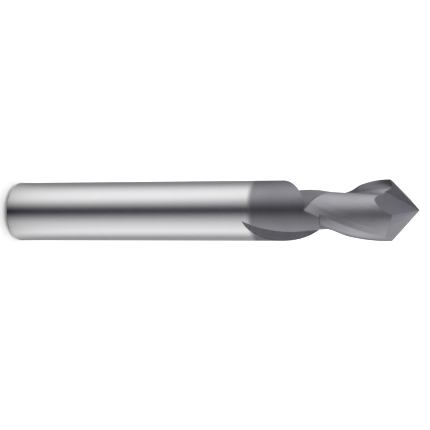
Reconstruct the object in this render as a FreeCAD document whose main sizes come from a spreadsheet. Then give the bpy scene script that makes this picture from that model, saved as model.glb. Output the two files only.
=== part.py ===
import FreeCAD, Part

import os

import Sketcher

# Two-flute solid-carbide chamfer mill, in millimetres and degrees.
# The tool axis is +Z, the origin is the centre of the shank's end face and the point is at the top.
# The two lips reach the outside diameter on the X axis. To cut, the tool turns from +X towards +Y.

Constraint = Sketcher.Constraint
Vector = FreeCAD.Vector

document = FreeCAD.newDocument("chamfer_mill")
sheet = document.addObject("Spreadsheet::Sheet", "sizes")

# Driving sizes. The wheel's setback and the land relief's length are measured back from the point.
SIZES = [
    # the ground blank
    ("overall_length", 60),
    ("diameter", 8),
    ("back_chamfer", 0.5),
    ("point_angle", 90),
    # the flutes, and the wheel that grinds them
    ("flute_count", 2),
    ("helix_lead", 50.9),
    ("wheel_tilt", 40),
    ("wheel_distance", 89.4),
    ("wheel_setback", 11.2),
    ("wheel_turn", 15),
    # the wheel's form, from the lip's side to the heel's
    ("lip_reach", 3.07),
    ("rake_slope", 61),
    ("root_radius", 1.5),
    ("floor_radius", 5.12),
    ("floor_across", 0.88),
    ("floor_height", 2.42),
    ("heel_across", 4.2),
    ("heel_slope", 45),
    ("wheel_side", 5.05),
    # the relief of the lands behind the side edges
    ("land_relief_angle", 8.2),
    ("land_relief_length", 12.5),
    ("land_relief_lead", 0.5),
    # the point
    ("first_relief_angle", 12),
    ("first_relief_width", 0.9),
    ("second_relief_angle", 25),
    ("chisel_web", 0.16),
    ("gash_start", 0.1),
    ("gash_root_angle", 27.8),
    ("gash_opening", 122),
]
for row, (alias, size) in enumerate(SIZES, start=1):
    sheet.set(f"A{row}", alias)
    sheet.set(f"B{row}", str(size))
    sheet.setAlias(f"B{row}", alias)
document.recompute()

# Lengths that follow from the sizes. BEYOND clears the blank on every side.
RADIUS = "(sizes.diameter / 2)"
BEYOND = "sizes.diameter"
POINT_LENGTH = f"({RADIUS} / tan(sizes.point_angle / 2))"

# The wheel's form is drawn in the plane through the wheel's axis where its travel along the flute ends.
# Across runs along the wheel's axis from the lip's side to the heel's, and up runs away from the tool axis.
# The plane is turned so that the lip meets the X axis where the point begins.
LIP_UP = f"sqrt({RADIUS}^2 - (sizes.lip_reach * cos(sizes.wheel_tilt))^2)"
LIP_SETBACK = "(sizes.wheel_setback - sizes.lip_reach * sin(sizes.wheel_tilt))"
WHEEL_AZIMUTH = (
    f"(atan(sizes.lip_reach * cos(sizes.wheel_tilt) / {LIP_UP})"
    f" - 360 deg * ({LIP_SETBACK} - {POINT_LENGTH}) / sizes.helix_lead)"
)
WHEEL_PLANE = (
    "placement(vector(0; 0; sizes.overall_length - sizes.wheel_setback);"
    f" rotationz({WHEEL_AZIMUTH}) * rotationx(-sizes.wheel_tilt) * rotationz(90) * rotationx(180))"
)
FLANK_RUN = f"(({BEYOND} - {LIP_UP}) / tan(sizes.rake_slope))"

# Along the flute the form's edge lies a fifth of a radius outside the tilted blank.
FORM_EDGE = f"({RADIUS} / cos(sizes.wheel_tilt) + 0.2 * {RADIUS})"

# The land falls away on an arc whose centre is shifted ahead of the tool axis. The cut reaches a tenth of a
# radius ahead of the side edge and three quarters of one behind it.
LAND_TURN = (
    f"(sizes.land_relief_lead * 1 deg"
    f" - 360 deg * (sizes.land_relief_length - {POINT_LENGTH}) / sizes.helix_lead)"
)
LAND_PLANE = (
    "placement(vector(0; 0; sizes.overall_length - sizes.land_relief_length);"
    f" rotationz({LAND_TURN}))"
)
LAND_CENTRE_UP = f"({RADIUS} * tan(sizes.land_relief_angle))"
LAND_ARC = f"({RADIUS} / cos(sizes.land_relief_angle))"
LAND_AHEAD = f"(0.1 * {RADIUS})"
LAND_BEHIND = f"(0.75 * {RADIUS})"

# Each flank of the point is a plane through its lip, turned about the lip by the relief angle.
FIRST_FLANK = (
    "placement(vector(0; 0; sizes.overall_length);"
    " rotationy(90 - sizes.point_angle / 2) * rotationx(sizes.first_relief_angle))"
)
SECOND_FLANK = (
    f"{FIRST_FLANK} * placement(vector(0; -sizes.first_relief_width; 0);"
    " rotationx(sizes.second_relief_angle - sizes.first_relief_angle))"
)

# The gash is drawn across its root, which runs down and outwards beside the lip.
GASH_PLANE = (
    "placement(vector(0; sizes.chisel_web / 2; sizes.overall_length - sizes.gash_start);"
    " rotationy(-sizes.gash_root_angle))"
)


def value(expression):
    """Number that an expression gives with the present sizes."""
    result = sheet.evalExpression(expression)
    return float(getattr(result, "Value", result))


def at(across, up):
    """Point of a sketch from two expressions."""
    return Vector(value(across), value(up), 0)


def origin_part(body, role):
    """Plane or axis of the body's own origin."""
    return next(item for item in body.Origin.OriginFeatures if item.Role == role)


def new_sketch(body, name, role, offset=None):
    """Sketch on one of the body's origin planes, moved by an expression."""
    sketch = body.newObject("Sketcher::SketchObject", name)
    sketch.AttachmentSupport = [(origin_part(body, role), "")]
    sketch.MapMode = "FlatFace"
    if offset:
        sketch.setExpression("AttachmentOffset", offset)
    return sketch


def bind(sketch, constraint, expression):
    """Add a dimension and drive it by an expression."""
    index = sketch.addConstraint(constraint)
    name = f"size_{index}"
    sketch.renameConstraint(index, name)
    sketch.setExpression(f"Constraints.{name}", expression)


def pin(sketch, edge, end, across, up):
    """Hold one end of an edge, or its centre, at two coordinates."""
    bind(sketch, Constraint("DistanceX", -1, 1, edge, end, value(across)), across)
    bind(sketch, Constraint("DistanceY", -1, 1, edge, end, value(up)), up)


def line(sketch, start, end):
    """Straight edge between two points."""
    return sketch.addGeometry(Part.LineSegment(start, end), False)


def arc(sketch, centre, start, end):
    """Round edge about a centre, anticlockwise from start to end."""
    circle = Part.Circle(centre, Vector(0, 0, 1), start.distanceToPoint(centre))
    bow = Part.ArcOfCircle(circle, circle.parameter(start), circle.parameter(end))
    return sketch.addGeometry(bow, False)


def polygon(sketch, corners):
    """Closed outline of straight edges through corners given as pairs of expressions."""
    points = [at(across, up) for across, up in corners]
    edges = [line(sketch, start, end) for start, end in zip(points, points[1:] + points[:1])]
    for edge, following, (across, up) in zip(edges, edges[1:] + edges[:1], corners):
        sketch.addConstraint(Constraint("Coincident", edge, 2, following, 1))
        pin(sketch, edge, 1, across, up)


def wheel_form(sketch, edge):
    """Outline of the wheel: rake flank, root round, crowned floor and sloped heel.

    The outline is closed by an upright side, whose place across is an expression, and by a level top."""
    centre_up = "(sizes.floor_height - sizes.floor_radius)"
    heel_up = f"({centre_up} + sqrt(sizes.floor_radius^2 - (sizes.heel_across - sizes.floor_across)^2))"
    edge_up = f"{heel_up} - ({edge} - sizes.heel_across) * tan(sizes.heel_slope)"
    lip = at("-sizes.lip_reach", LIP_UP)
    flank_top = at(f"-sizes.lip_reach - {FLANK_RUN}", BEYOND)
    floor_centre = at("sizes.floor_across", centre_up)
    heel_foot = at("sizes.heel_across", heel_up)
    heel_end = at(edge, edge_up)
    top_corner = at(edge, BEYOND)
    floor_radius = value("sizes.floor_radius")
    root_radius = value("sizes.root_radius")

    # The root round touches the flank, and touches the floor from outside.
    slope = (lip - flank_top).normalize()
    off_flank = Vector(-slope.y, slope.x, 0)
    to_floor = floor_centre - lip - off_flank * root_radius
    gap = to_floor.dot(off_flank)
    along = to_floor.dot(slope) - ((floor_radius + root_radius) ** 2 - gap**2) ** 0.5
    root_centre = lip + off_flank * root_radius + slope * along
    flank_foot = root_centre - off_flank * root_radius
    floor_start = floor_centre + (root_centre - floor_centre).normalize() * floor_radius

    flank_side = line(sketch, flank_top, flank_foot)
    root = arc(sketch, root_centre, flank_foot, floor_start)
    floor = arc(sketch, floor_centre, heel_foot, floor_start)
    heel = line(sketch, heel_foot, heel_end)
    wall = line(sketch, heel_end, top_corner)
    top = line(sketch, top_corner, flank_top)
    sketch.addConstraint(Constraint("Tangent", flank_side, 2, root, 1))
    sketch.addConstraint(Constraint("Tangent", root, 2, floor, 2))
    sketch.addConstraint(Constraint("Coincident", floor, 1, heel, 1))
    for near, far in ((heel, wall), (wall, top), (top, flank_side)):
        sketch.addConstraint(Constraint("Coincident", near, 2, far, 1))

    pin(sketch, flank_side, 1, f"-sizes.lip_reach - {FLANK_RUN}", BEYOND)
    lip_mark = sketch.addGeometry(Part.Point(lip), True)
    pin(sketch, lip_mark, 1, "-sizes.lip_reach", LIP_UP)
    sketch.addConstraint(Constraint("PointOnObject", lip_mark, 1, flank_side))
    bind(sketch, Constraint("Radius", root, root_radius), "sizes.root_radius")
    bind(sketch, Constraint("Radius", floor, floor_radius), "sizes.floor_radius")
    pin(sketch, floor, 3, "sizes.floor_across", centre_up)
    bind(sketch, Constraint("DistanceX", -1, 1, heel, 1, heel_foot.x), "sizes.heel_across")
    pin(sketch, heel, 2, edge, edge_up)
    pin(sketch, wall, 2, edge, BEYOND)


def helical_cut(body, name, profile, height):
    """Carry a profile up the helix from its own plane and take it out of the body."""
    cut = body.newObject("PartDesign::SubtractiveHelix", name)
    cut.Profile = profile
    cut.ReferenceAxis = (origin_part(body, "Z_Axis"), [""])
    cut.Mode = 0
    cut.setExpression("Pitch", "sizes.helix_lead")
    cut.setExpression("Height", height)
    document.recompute()
    return cut


def blank(body):
    """Ground rod with a chamfered back end and a pointed front end."""
    profile = new_sketch(body, "blank_profile", "XZ_Plane")
    polygon(
        profile,
        [
            ("0", "0"),
            (f"{RADIUS} - sizes.back_chamfer", "0"),
            (RADIUS, "sizes.back_chamfer"),
            (RADIUS, f"sizes.overall_length - {POINT_LENGTH}"),
            ("0", "sizes.overall_length"),
        ],
    )
    rod = body.newObject("PartDesign::Revolution", "blank")
    rod.Profile = profile
    rod.ReferenceAxis = (profile, ["V_Axis"])
    rod.Angle = 360
    document.recompute()


def flute(body):
    """One helical flute, from where the wheel's travel ends up past the point."""
    form = new_sketch(body, "flute_form", "XY_Plane", WHEEL_PLANE)
    wheel_form(form, FORM_EDGE)
    document.recompute()
    return helical_cut(body, "flute", form, f"sizes.wheel_setback + {BEYOND}")


def run_out(body):
    """Mark of the whole round wheel at the end of its travel, which rises out of the blank."""
    form = new_sketch(body, "run_out_form", "XY_Plane", WHEEL_PLANE)
    wheel_form(form, "sizes.wheel_side")
    wheel_axis = sketch_axis(form, "sizes.wheel_distance")
    mark = body.newObject("PartDesign::Groove", "run_out")
    mark.Profile = form
    mark.ReferenceAxis = (form, [wheel_axis])
    mark.Midplane = True
    mark.setExpression("Angle", "2 * sizes.wheel_turn")
    document.recompute()
    return mark


def sketch_axis(sketch, up):
    """Level construction line at a height, as an axis to turn about."""
    axis = sketch.addGeometry(Part.LineSegment(at("0", up), at(BEYOND, up)), True)
    pin(sketch, axis, 1, "0", up)
    pin(sketch, axis, 2, BEYOND, up)
    document.recompute()
    return "Axis0"


def land_relief(body):
    """Clearance behind one side edge, along the front of the flute."""
    form = new_sketch(body, "land_form", "XY_Plane", LAND_PLANE)
    centre = at("0", LAND_CENTRE_UP)
    radius = value(LAND_ARC)
    behind = Vector((radius**2 - (value(LAND_BEHIND) + centre.y) ** 2) ** 0.5, -value(LAND_BEHIND), 0)
    ahead = Vector((radius**2 - (value(LAND_AHEAD) - centre.y) ** 2) ** 0.5, value(LAND_AHEAD), 0)
    outer_ahead = at(BEYOND, LAND_AHEAD)
    outer_behind = at(BEYOND, f"-{LAND_BEHIND}")
    land = arc(form, centre, behind, ahead)
    upper = line(form, ahead, outer_ahead)
    outer = line(form, outer_ahead, outer_behind)
    lower = line(form, outer_behind, behind)
    for edge, following in ((land, upper), (upper, outer), (outer, lower), (lower, land)):
        form.addConstraint(Constraint("Coincident", edge, 2, following, 1))
    for level in (upper, lower):
        form.addConstraint(Constraint("Horizontal", level))
    pin(form, land, 3, "0", LAND_CENTRE_UP)
    bind(form, Constraint("Radius", land, radius), LAND_ARC)
    pin(form, outer, 1, BEYOND, LAND_AHEAD)
    pin(form, outer, 2, BEYOND, f"-{LAND_BEHIND}")
    document.recompute()
    return helical_cut(body, "land_relief", form, f"sizes.land_relief_length + {RADIUS}")


def flank(body, name, plane):
    """Take away everything outside one flat flank of the point."""
    outline = new_sketch(body, f"{name}_outline", "XY_Plane", plane)
    near, far = f"-{BEYOND}", f"2 * {BEYOND}"
    polygon(outline, [(near, f"-{far}"), (far, f"-{far}"), (far, far), (near, far)])
    cut = body.newObject("PartDesign::Pocket", name)
    cut.Profile = outline
    cut.Reversed = True
    cut.setExpression("Length", BEYOND)
    document.recompute()
    return cut


def gash(body):
    """Web thinning: its upright side makes the straight inner lip, and its other side opens the centre."""
    outline = new_sketch(body, "gash_outline", "XY_Plane", GASH_PLANE)
    side_across = f"{BEYOND} * cos(sizes.gash_opening)"
    side_up = f"{BEYOND} * sin(sizes.gash_opening)"
    polygon(outline, [("0", "0"), (BEYOND, "0"), (BEYOND, side_up), (side_across, side_up)])
    cut = body.newObject("PartDesign::Pocket", "gash")
    cut.Profile = outline
    cut.SideType = "Symmetric"
    cut.setExpression("Length", f"3 * {BEYOND}")
    document.recompute()
    return cut


def repeat_round_axis(body, cuts):
    """Repeat every cut of one tooth for the others."""
    teeth = body.newObject("PartDesign::PolarPattern", "teeth")
    teeth.Originals = cuts
    teeth.Axis = (origin_part(body, "Z_Axis"), [""])
    teeth.Angle = 360
    teeth.setExpression("Occurrences", "sizes.flute_count")
    body.Tip = teeth
    document.recompute()


mill = document.addObject("PartDesign::Body", "chamfer_mill")
mill.Label = "chamfer_mill"
blank(mill)
repeat_round_axis(
    mill,
    [
        flute(mill),
        run_out(mill),
        land_relief(mill),
        flank(mill, "first_flank", FIRST_FLANK),
        flank(mill, "second_flank", SECOND_FLANK),
        gash(mill),
    ],
)

for item in document.Objects:
    if "Invalid" in item.State or "Error" in item.State:
        raise SystemExit(f"{item.Name} did not build: {item.getStatusString()}")
if mill.Shape.isNull() or not mill.Shape.isValid() or len(mill.Shape.Solids) != 1:
    raise SystemExit("the mill is not one sound solid")

os.makedirs("parts", exist_ok=True)
mill.Shape.exportStep(f"parts/{mill.Label}.step")
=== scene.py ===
"""Looks of a two-flute solid-carbide chamfer mill that stands on its shank on a pale studio floor.

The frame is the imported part: metres, +Z from the shank's end face to the point, lips on the X axis.
"""
import logging
import math
from dataclasses import dataclass, field
from enum import Enum
from typing import Mapping, Sequence, TypeAlias

import bpy
from mathutils import Matrix, Vector

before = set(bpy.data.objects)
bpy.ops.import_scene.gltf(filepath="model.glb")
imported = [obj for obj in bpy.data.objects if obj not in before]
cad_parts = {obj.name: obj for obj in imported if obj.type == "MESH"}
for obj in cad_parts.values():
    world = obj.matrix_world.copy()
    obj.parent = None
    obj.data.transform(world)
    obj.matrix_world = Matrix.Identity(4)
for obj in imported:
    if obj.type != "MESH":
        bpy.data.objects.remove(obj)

LOG = logging.getLogger("chamfer_mill")
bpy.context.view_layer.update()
MM = 0.001

Colour: TypeAlias = tuple[float, float, float, float]
Feed: TypeAlias = "Wire | float | Sequence[float]"


class NumberStep(Enum):
    """What a Math node works out."""

    SUM = "ADD"
    DIFFERENCE = "SUBTRACT"
    PRODUCT = "MULTIPLY"
    SIZE = "ABSOLUTE"
    DIRECTION = "ARCTAN2"


class VectorStep(Enum):
    """What a Vector Math node works out."""

    STRETCH = "MULTIPLY"
    LENGTH = "LENGTH"


class Wire:
    """A socket's value in a shader. Arithmetic on it adds Math nodes."""

    def __init__(self, shader: "Shader", socket: bpy.types.NodeSocket | None) -> None:
        """Wrap one output socket of a shader's node.

        Args:
            shader: The shader that new nodes go into.
            socket: The output socket that gives the value, or None for a node without any.
        """
        self.shader = shader
        self.socket = socket

    def _math(self, step: NumberStep, left: Feed, right: Feed) -> "Wire":
        """Result of one Math node."""
        return self.shader.node("ShaderNodeMath", {"operation": step.value}, {0: left, 1: right})

    def __add__(self, other: Feed) -> "Wire":
        """Sum with a number or another value."""
        return self._math(NumberStep.SUM, self, other)

    def __radd__(self, other: Feed) -> "Wire":
        """Sum with a number on the left."""
        return self._math(NumberStep.SUM, other, self)

    def __sub__(self, other: Feed) -> "Wire":
        """Difference from a number or another value."""
        return self._math(NumberStep.DIFFERENCE, self, other)

    def __rsub__(self, other: Feed) -> "Wire":
        """Difference with a number on the left."""
        return self._math(NumberStep.DIFFERENCE, other, self)

    def __mul__(self, other: Feed) -> "Wire":
        """Product with a number or another value."""
        return self._math(NumberStep.PRODUCT, self, other)

    def __rmul__(self, other: Feed) -> "Wire":
        """Product with a number on the left."""
        return self._math(NumberStep.PRODUCT, other, self)

    def __abs__(self) -> "Wire":
        """Size without sign."""
        return self._math(NumberStep.SIZE, self, 0.0)

    def angle_with(self, across: Feed) -> "Wire":
        """Direction in radians of the point that lies self up and another value across."""
        return self._math(NumberStep.DIRECTION, self, across)


class Shader:
    """A material's or world's node tree, built node by node."""

    def __init__(self, owner: "bpy.types.Material | bpy.types.World") -> None:
        """Empty the owner's node tree.

        Args:
            owner: The material or world that the nodes belong to.
        """
        owner.use_nodes = True
        self.tree = owner.node_tree
        self.tree.nodes.clear()

    def node(
        self,
        kind: str,
        settings: Mapping[str, str] | None = None,
        inputs: Mapping[int | str, Feed] | None = None,
        output: int | str = 0,
    ) -> Wire:
        """Add a node.

        Args:
            kind: The node's type name.
            settings: Attributes of the node, which are set first.
            inputs: Numbers, colours or wires by the socket's name or place.
            output: The output socket to give back, by name or place.

        Returns:
            The chosen output as a wire.
        """
        made = self.tree.nodes.new(kind)
        for name, setting in (settings or {}).items():
            setattr(made, name, setting)
        for key, feed in (inputs or {}).items():
            if isinstance(feed, Wire):
                self.tree.links.new(feed.socket, made.inputs[key])
            else:
                made.inputs[key].default_value = feed
        return Wire(self, made.outputs[output] if made.outputs else None)

    def mix(self, factor: Feed, first: Feed, second: Feed) -> Wire:
        """Mix two colours.

        Args:
            factor: Share of the second colour, from 0 to 1.
            first: Colour where the factor is 0.
            second: Colour where the factor is 1.

        Returns:
            The mixed colour.
        """
        colours = {"Factor": factor, 6: first, 7: second}
        return self.node("ShaderNodeMix", {"data_type": "RGBA"}, colours, output=2)

    def stretch(self, place: Wire, along: Sequence[float]) -> Wire:
        """Vector with each of its parts multiplied by a number."""
        settings = {"operation": VectorStep.STRETCH.value}
        return self.node("ShaderNodeVectorMath", settings, {0: place, 1: tuple(along)})

    def length(self, place: Wire) -> Wire:
        """Length of a vector."""
        settings = {"operation": VectorStep.LENGTH.value}
        return self.node("ShaderNodeVectorMath", settings, {0: place}, output=1)

    def split(self, place: Wire) -> tuple[Wire, ...]:
        """The x, y and z parts of a vector."""
        parts = self.node("ShaderNodeSeparateXYZ", None, {0: place}).socket.node.outputs
        return tuple(Wire(self, part) for part in parts)

    def smooth(
        self,
        value: Feed,
        low: float,
        high: float,
        at_low: float = 0.0,
        at_high: float = 1.0,
    ) -> Wire:
        """Carry a value smoothly from one range to another.

        Args:
            value: The value to read.
            low: The reading at which the result leaves at_low.
            high: The reading at which the result reaches at_high.
            at_low: Result at and below low.
            at_high: Result at and above high.

        Returns:
            The result as a wire.
        """
        span = {"Value": value, "From Min": low, "From Max": high, "To Min": at_low, "To Max": at_high}
        return self.node("ShaderNodeMapRange", {"interpolation_type": "SMOOTHSTEP"}, span)

    def noise(self, place: Wire, stretch: Sequence[float], detail: float = 2.0) -> Wire:
        """Noise from about 0 to 1 with its own scale along each axis.

        Args:
            place: Coordinates in metres.
            stretch: Waves per metre along each axis.
            detail: Number of finer layers.

        Returns:
            The noise as a wire.
        """
        grid = {"Vector": self.stretch(place, stretch), "Scale": 1.0, "Detail": detail}
        return self.node("ShaderNodeTexNoise", None, grid)

    def finish(self, surface: Wire, kind: str = "ShaderNodeOutputMaterial") -> None:
        """Send a shader to the tree's output node."""
        self.node(kind, None, {"Surface": surface})


@dataclass(frozen=True)
class GroundCarbide:
    """Bare cemented carbide, ground round: bright grey with fine rings of grinding marks.

    The rings' tuple gives noise waves per metre along x, y and z."""

    colour: Colour = (0.71, 0.71, 0.712, 1.0)
    dull_colour: Colour = (0.61, 0.61, 0.614, 1.0)
    roughness: float = 0.24
    roughness_spread: float = 0.05
    rings: tuple[float, float, float] = (60.0, 60.0, 9000.0)


@dataclass(frozen=True)
class FrontCoating:
    """Thin hard coating over the ground front end: dark grey with a trace of violet.

    Cut faces near the point that look back towards the shank are darkened with painted shade.
    Wheel marks run along the helix, and patches lie anywhere. Both are noise waves per metre along
    x, y and z."""

    colour: Colour = (0.225, 0.222, 0.244, 1.0)
    worn_colour: Colour = (0.273, 0.270, 0.293, 1.0)
    flute_colour: Colour = (0.465, 0.463, 0.494, 1.0)
    # Colour of the painted shade on back-facing cut faces, and of the darker random patches.
    painted_shade_and_patch_colour: Colour = (0.17, 0.168, 0.185, 1.0)
    roughness: float = 0.36
    roughness_spread: float = 0.06
    unevenness: float = 0.3
    wheel_marks: tuple[float, float, float] = (5200.0, 5200.0, 90.0)
    patches: tuple[float, float, float] = (260.0, 260.0, 180.0)
    share_of_patches: float = 0.7
    worn_between: tuple[float, float] = (0.3, 0.75)
    # Painted shade: how far a cut face looks back towards the shank, and the heights near the point where
    # it begins.
    painted_shade_where_back_facing: tuple[float, float] = (0.18, 0.34)
    painted_shade_from_height: tuple[float, float] = (45.5 * MM, 48.0 * MM)
    begins_at: float = 36.6 * MM
    fade: float = 1.0 * MM
    lean: float = 0.9 * MM


@dataclass
class ChamferMill:
    """The mill itself, one solid, and how its surface is finished."""

    node: str = "chamfer_mill"
    diameter: float = 8.0 * MM
    helix_lead: float = 50.9 * MM
    bare: GroundCarbide = field(default_factory=GroundCarbide)
    coating: FrontCoating = field(default_factory=FrontCoating)
    mark_depth: float = 0.0004 * MM
    cut_below: float = 0.12 * MM
    uncut_above: float = 0.04 * MM

    def dress(self) -> bpy.types.Object:
        """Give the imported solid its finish.

        Returns:
            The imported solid's own object.
        """
        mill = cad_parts[self.node]
        material = self._skin()
        mill.data.materials.clear()
        mill.data.materials.append(material)
        return mill

    def _skin(self) -> bpy.types.Material:
        """Ground carbide and its coated front as one material.

        Returns:
            The material.
        """
        bare, coating = self.bare, self.coating
        material = bpy.data.materials.new("ground_carbide_with_coated_front")
        shader = Shader(material)
        place = shader.node("ShaderNodeTexCoord", output="Object")
        _, y, z = shader.split(place)
        _, _, facing_up = shader.split(shader.node("ShaderNodeNewGeometry", output="Normal"))
        # Painted shade on cut faces near the point that look back towards the shank.
        facing_back = shader.smooth(0 - facing_up, *coating.painted_shade_where_back_facing)
        painted_shade_mask = facing_back * shader.smooth(z, *coating.painted_shade_from_height)

        # Rings run round the untouched cylinder, and wheel marks run along the helix everywhere else.
        radius = self.diameter / 2
        reach = shader.length(shader.stretch(place, (1.0, 1.0, 0.0)))
        on_cylinder = shader.smooth(reach, radius - self.cut_below, radius - self.uncut_above)
        turn = z * (-2 * math.pi / self.helix_lead)
        helix = {"Vector": place, "Angle": turn}
        unwound = shader.node("ShaderNodeVectorRotate", {"rotation_type": "Z_AXIS"}, helix)
        rings = shader.noise(place, bare.rings, 3.0)
        wheel_marks = shader.noise(unwound, coating.wheel_marks, 2.0)
        marks = rings * on_cylinder + wheel_marks * (1 - on_cylinder)
        patches = shader.noise(place, coating.patches, 3.0)

        wander = (patches - 0.5) * (0.5 * coating.fade) + y * (coating.lean / radius)
        first, full = coating.begins_at - coating.fade / 2, coating.begins_at + coating.fade / 2
        coated = shader.smooth(z + wander, first, full)
        bare_colour = shader.mix(marks, bare.dull_colour, bare.colour)
        wear = marks * (1 - coating.share_of_patches) + patches * coating.share_of_patches
        worn = shader.smooth(wear, *coating.worn_between)
        ground_colour = shader.mix(worn, coating.colour, coating.worn_colour)
        # Cut faces get painted shade where they look back towards the shank, and darken at random in uneven
        # patches.
        painted_shade_and_patches = painted_shade_mask + (1 - painted_shade_mask) * (1 - worn) * coating.unevenness
        cut_colour = shader.mix(painted_shade_and_patches, coating.flute_colour, coating.painted_shade_and_patch_colour)
        coat_colour = shader.mix(on_cylinder, cut_colour, ground_colour)
        colour = shader.mix(coated, bare_colour, coat_colour)

        bare_roughness = bare.roughness + (marks - 0.5) * bare.roughness_spread
        coat_roughness = coating.roughness + (marks - 0.5) * coating.roughness_spread
        roughness = bare_roughness * (1 - coated) + coat_roughness * coated
        scratches = {"Strength": 1.0, "Distance": self.mark_depth, "Height": marks}
        relief = shader.node("ShaderNodeBump", None, scratches)
        metal = {"Base Color": colour, "Roughness": roughness, "Metallic": 1.0, "Normal": relief}
        shader.finish(shader.node("ShaderNodeBsdfPrincipled", None, metal))
        return material


@dataclass
class StudioFloor:
    """Plain pale floor. What the camera sees of it is lifted to the photograph's white."""

    half_width: float = 900 * MM
    colour: Colour = (0.86, 0.86, 0.86, 1.0)
    lift: float = 0.13
    name: str = "studio_floor"

    def build(self) -> bpy.types.Object:
        """Make the floor.

        Returns:
            The floor's object.
        """
        side = self.half_width
        corners = [(-side, -side, 0.0), (side, -side, 0.0), (side, side, 0.0), (-side, side, 0.0)]
        floor = new_mesh(self.name, corners, [(0, 1, 2, 3)])
        floor.data.materials.append(self._paint())
        return floor

    def _paint(self) -> bpy.types.Material:
        """Matt pale paint, with a little light of its own for the camera only.

        Returns:
            The material.
        """
        material = bpy.data.materials.new("pale_floor_paint")
        shader = Shader(material)
        seen = shader.node("ShaderNodeLightPath", output="Is Camera Ray")
        paint = shader.node("ShaderNodeBsdfDiffuse", None, {"Color": self.colour})
        glow = shader.node("ShaderNodeEmission", None, {"Strength": seen * self.lift})
        shader.finish(shader.node("ShaderNodeAddShader", None, {0: paint, 1: glow}))
        return material


@dataclass(frozen=True)
class Shade:
    """Darker direction in a reflection: full between the core's edges, gone at the outer edge.

    All are degrees from the camera's side, anticlockwise from above."""

    middle: float
    core: float
    edge: float
    depth: float


@dataclass
class FloorFan:
    """Matt paper round the mill's foot, shaded by direction, which only the mill's reflections show.

    Directions are taken from where the round shank's mirror image gathers them, half a radius off its axis.
    The shades widen and drift clockwise between the near and the far distance from it."""

    towards: float = -94.0
    gather: float = 2.2 * MM
    inner: float = 4.1 * MM
    outer: float = 880 * MM
    height: float = 0.15 * MM
    near: float = 70 * MM
    far: float = 150 * MM
    widening: float = 0.18
    drift: float = 7.0
    steps: int = 48
    paper: Colour = (0.86, 0.86, 0.865, 1.0)
    ink: Colour = (0.025, 0.025, 0.038, 1.0)
    shades: Sequence[Shade] = (
        Shade(middle=-1, core=1, edge=57, depth=1.0),
        Shade(middle=36, core=10, edge=62, depth=0.27),
        Shade(middle=-142, core=11, edge=76, depth=0.80),
        Shade(middle=139, core=11, edge=61, depth=0.72),
    )
    name: str = "floor_fan"

    def build(self) -> bpy.types.Object:
        """Make the fan as a flat ring.

        Returns:
            The fan's object, seen only by mirror-like rays.
        """
        turns = [2 * math.pi * step / self.steps for step in range(self.steps)]
        corners = [(reach * math.cos(turn), reach * math.sin(turn), 0.0)
                   for reach in (self.inner, self.outer) for turn in turns]
        follow = [(step, (step + 1) % self.steps) for step in range(self.steps)]
        faces = [(near, self.steps + near, self.steps + far, far) for near, far in follow]
        fan = new_mesh(self.name, corners, faces)
        fan.location.z = self.height
        fan.rotation_euler.z = math.radians(self.towards)
        fan.data.materials.append(self._paper())
        return only_reflected(fan)

    def _paper(self) -> bpy.types.Material:
        """Matt paper whose tone follows the shades.

        Returns:
            The material.
        """
        material = bpy.data.materials.new("shaded_paper")
        shader = Shader(material)
        place = shader.node("ShaderNodeTexCoord", output="Object")
        x, y, _ = shader.split(place)
        turn = y.angle_with(x - self.gather) * math.degrees(1.0)
        far = shader.smooth(shader.length(place), self.near, self.far)
        turn = turn * (1 - far * self.widening) + far * self.drift
        light = 1.0
        for shade in self.shades:
            apart = 180 - abs(180 - abs(turn - shade.middle))
            light = shader.smooth(apart, shade.core, shade.edge, 1 - shade.depth, 1.0) * light
        colour = shader.mix(light, self.ink, self.paper)
        shader.finish(shader.node("ShaderNodeBsdfDiffuse", None, {"Color": colour}))
        return material


@dataclass
class Flag:
    """Dull blue-grey card that faces the mill and is seen only in its reflections."""

    name: str
    azimuth: float
    elevation: float
    width: float
    height: float
    tone: float
    tint: tuple[float, float, float] = (1.0, 1.02, 1.12)
    distance: float = 500 * MM
    aim_height: float = 45 * MM

    def build(self) -> bpy.types.Object:
        """Make the card.

        Returns:
            The card's object, seen only by mirror-like rays.
        """
        half, rise = self.width / 2, self.height / 2
        corners = [(-half, -rise, 0.0), (half, -rise, 0.0), (half, rise, 0.0), (-half, rise, 0.0)]
        card = new_mesh(self.name, corners, [(0, 1, 2, 3)])
        outwards = direction(self.azimuth, self.elevation)
        card.location = outwards * self.distance + Vector((0.0, 0.0, self.aim_height))
        card.rotation_euler = outwards.to_track_quat("Z", "Y").to_euler()
        material = bpy.data.materials.new(f"{self.name}_cloth")
        shader = Shader(material)
        cloth = tuple(self.tone * part for part in self.tint) + (1.0,)
        shader.finish(shader.node("ShaderNodeBsdfDiffuse", None, {"Color": cloth}))
        card.data.materials.append(material)
        return only_reflected(card)


@dataclass
class SoftLamp:
    """Square soft lamp that looks at the mill and leaves no mirror image of itself in it."""

    name: str
    azimuth: float
    elevation: float
    distance: float = 420 * MM
    aim_height: float = 30 * MM
    side: float = 300 * MM
    watts: float = 1.1

    def build(self) -> bpy.types.Object:
        """Hang the lamp.

        Returns:
            The lamp's object.
        """
        light = bpy.data.lights.new(self.name, "AREA")
        light.shape = "SQUARE"
        light.size = self.side
        light.energy = self.watts
        lamp = bpy.data.objects.new(self.name, light)
        lamp.visible_glossy = False
        outwards = direction(self.azimuth, self.elevation)
        lamp.location = outwards * self.distance + Vector((0.0, 0.0, self.aim_height))
        lamp.rotation_euler = outwards.to_track_quat("Z", "Y").to_euler()
        bpy.context.collection.objects.link(lamp)
        return lamp


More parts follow.
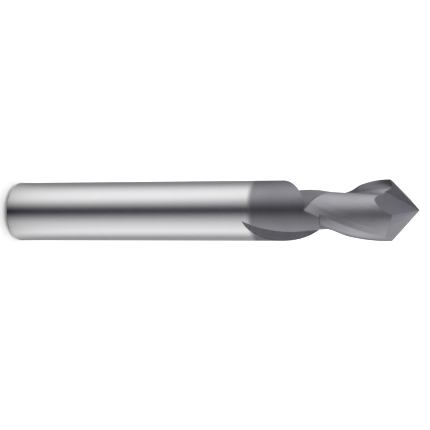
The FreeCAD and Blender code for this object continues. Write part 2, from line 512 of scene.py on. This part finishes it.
@dataclass
class Studio:
    """The room: soft sky, lamps, floor, and cards that shape the reflections."""

    sky: float = 0.82
    floor: StudioFloor = field(default_factory=StudioFloor)
    fan: FloorFan = field(default_factory=FloorFan)
    lamps: Sequence[SoftLamp] = (
        SoftLamp("lamp_left", azimuth=131, elevation=65),
        SoftLamp("lamp_right", azimuth=41, elevation=65),
    )
    flags: Sequence[Flag] = (
        Flag("flag_left", azimuth=172, elevation=10, width=330 * MM, height=250 * MM, tone=0.23),
        Flag("flag_front", azimuth=-76, elevation=58, width=420 * MM, height=260 * MM, tone=0.1),
        Flag("flag_right", azimuth=-20, elevation=52, width=300 * MM, height=300 * MM, tone=0.6),
    )

    def build(self) -> None:
        """Make the whole room."""
        world = bpy.data.worlds.new("soft_sky")
        shader = Shader(world)
        glow = shader.node("ShaderNodeBackground", None, {"Strength": self.sky})
        shader.finish(glow, "ShaderNodeOutputWorld")
        bpy.context.scene.world = world
        for piece in (self.floor, self.fan, *self.flags, *self.lamps):
            made = piece.build()
            LOG.info("stage: %s", made.name)


@dataclass
class PhotoCamera:
    """Camera where the photograph was taken from: the mill lies across the picture, point to the right."""

    azimuth: float = -94.0
    elevation: float = 26.9
    distance: float = 329.6 * MM
    aim: tuple[float, float, float] = (0.55 * MM, 0.0, 30.56 * MM)
    roll: float = -0.17
    focal_pixels: float = 2470.0
    picture_pixels: float = 430.0
    sensor: float = 36.0
    nearest: float = 10 * MM
    farthest: float = 10.0

    def build(self) -> bpy.types.Object:
        """Set the camera up.

        Returns:
            The camera's object.
        """
        settings = bpy.data.cameras.new("photo_camera")
        settings.sensor_width = self.sensor
        settings.lens = self.sensor * self.focal_pixels / self.picture_pixels
        settings.clip_start = self.nearest
        settings.clip_end = self.farthest
        camera = bpy.data.objects.new("photo_camera", settings)
        back = direction(self.azimuth, self.elevation)
        along_mill = (Vector((0, 0, 1)) - back * back.z).normalized()
        right = Matrix.Rotation(math.radians(self.roll), 3, back) @ along_mill
        up = back.cross(right)
        turned = Matrix((right, up, back)).transposed().to_4x4()
        camera.matrix_world = Matrix.Translation(Vector(self.aim) + back * self.distance) @ turned
        bpy.context.collection.objects.link(camera)
        bpy.context.scene.camera = camera
        return camera


def direction(azimuth: float, elevation: float) -> Vector:
    """Unit vector towards an azimuth and elevation in degrees."""
    turn, lift = math.radians(azimuth), math.radians(elevation)
    return Vector((math.cos(turn) * math.cos(lift), math.sin(turn) * math.cos(lift), math.sin(lift)))


def new_mesh(
    name: str, corners: Sequence[Sequence[float]], faces: Sequence[Sequence[int]]
) -> bpy.types.Object:
    """Object with a mesh of the given corners and faces.

    Args:
        name: Name of the object and its mesh.
        corners: Corner points in metres.
        faces: Corner numbers of each face.

    Returns:
        The linked object.
    """
    mesh = bpy.data.meshes.new(name)
    mesh.from_pydata([tuple(corner) for corner in corners], [], [tuple(face) for face in faces])
    made = bpy.data.objects.new(name, mesh)
    bpy.context.collection.objects.link(made)
    return made


def only_reflected(piece: bpy.types.Object) -> bpy.types.Object:
    """Leave a piece to the mirror-like rays alone.

    Args:
        piece: The object to hide from all but the mirror-like rays.

    Returns:
        The same object.
    """
    piece.visible_camera = False
    piece.visible_shadow = False
    piece.visible_diffuse = False
    return piece


def main() -> None:
    """Dress the mill and build the room round it."""
    logging.basicConfig(level=logging.INFO, format="%(name)s: %(message)s")
    bpy.context.scene.view_settings.view_transform = "Standard"
    camera = PhotoCamera().build()
    LOG.info("camera: %s", camera.name)
    mill = ChamferMill().dress()
    LOG.info("piece: %s, %d faces", mill.name, len(mill.data.polygons))
    Studio().build()


if __name__ == "__main__":
    main()
